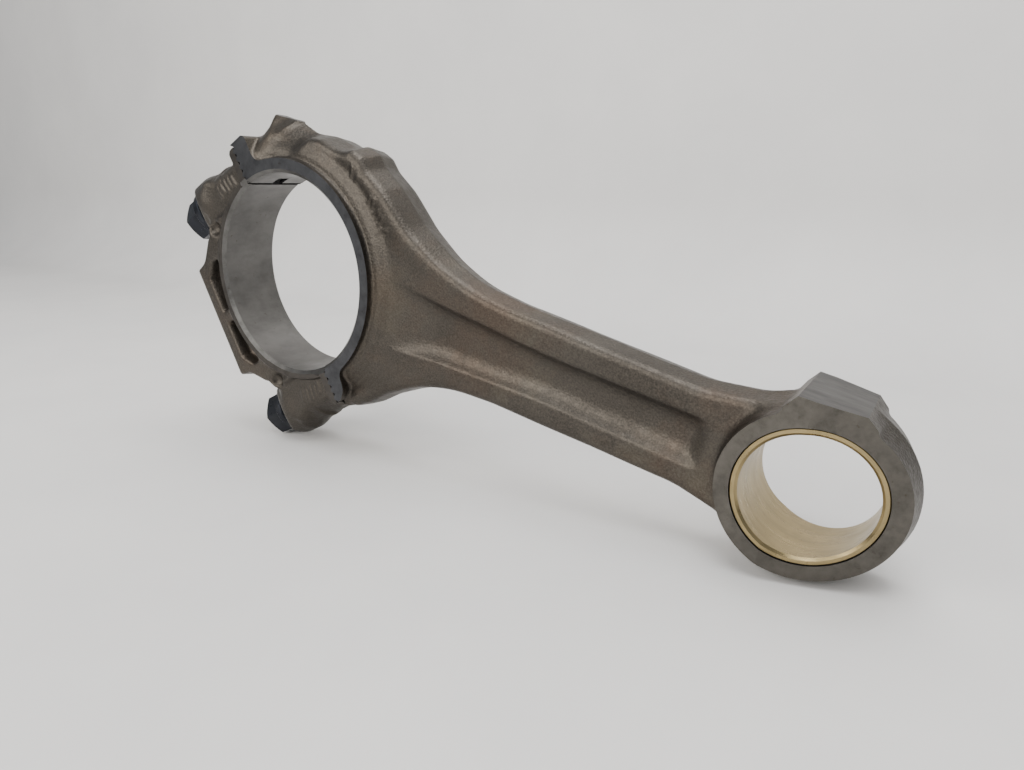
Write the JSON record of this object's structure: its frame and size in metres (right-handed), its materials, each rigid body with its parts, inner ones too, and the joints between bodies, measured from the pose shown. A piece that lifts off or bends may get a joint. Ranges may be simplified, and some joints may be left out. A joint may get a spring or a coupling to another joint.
{
  "type": "connecting rod",
  "caption": "Forged diesel connecting rod with an obliquely split, serrated big end, bolted cap and a wedge-shaped bushed small end.",
  "frame": {"origin": "centre of the big-end bore, midway between its side faces", "axes": "+X along the rod to the small end, +Y along the bores, +Z towards the side with the milled pads"},
  "size_m": [0.375, 0.037, 0.1619],
  "materials": {
    "forged_rod": "shot-peened dark steel forging with ground side faces and honed bore",
    "forged_cap": "shot-peened dark steel forging with honed bore",
    "bolt_steel": "black phosphated steel",
    "bush_bronze": "fine-bored bronze"
  },
  "bodies": {
    "rod": {"rod_big_end": "forged_rod", "rod_shank": "forged_rod", "rod_small_end": "forged_rod", "small_end_bush": "bush_bronze"},
    "cap": {"bearing_cap": "forged_cap"},
    "upper_bolt": {"upper_cap_bolt": "bolt_steel"},
    "lower_bolt": {"lower_cap_bolt": "bolt_steel"}
  },
  "joints": [
    {"name": "cap_lift", "type": "slide", "parent": "rod", "child": "cap", "axis": [-0.766, 0, -0.6428], "range_m": [0, 0.09]},
    {"name": "upper_bolt_withdraw", "type": "slide", "parent": "cap", "child": "upper_bolt", "axis": [-0.766, 0, -0.6428], "range_m": [0, 0.08]},
    {"name": "lower_bolt_withdraw", "type": "slide", "parent": "cap", "child": "lower_bolt", "axis": [-0.766, 0, -0.6428], "range_m": [0, 0.08]}
  ]
}
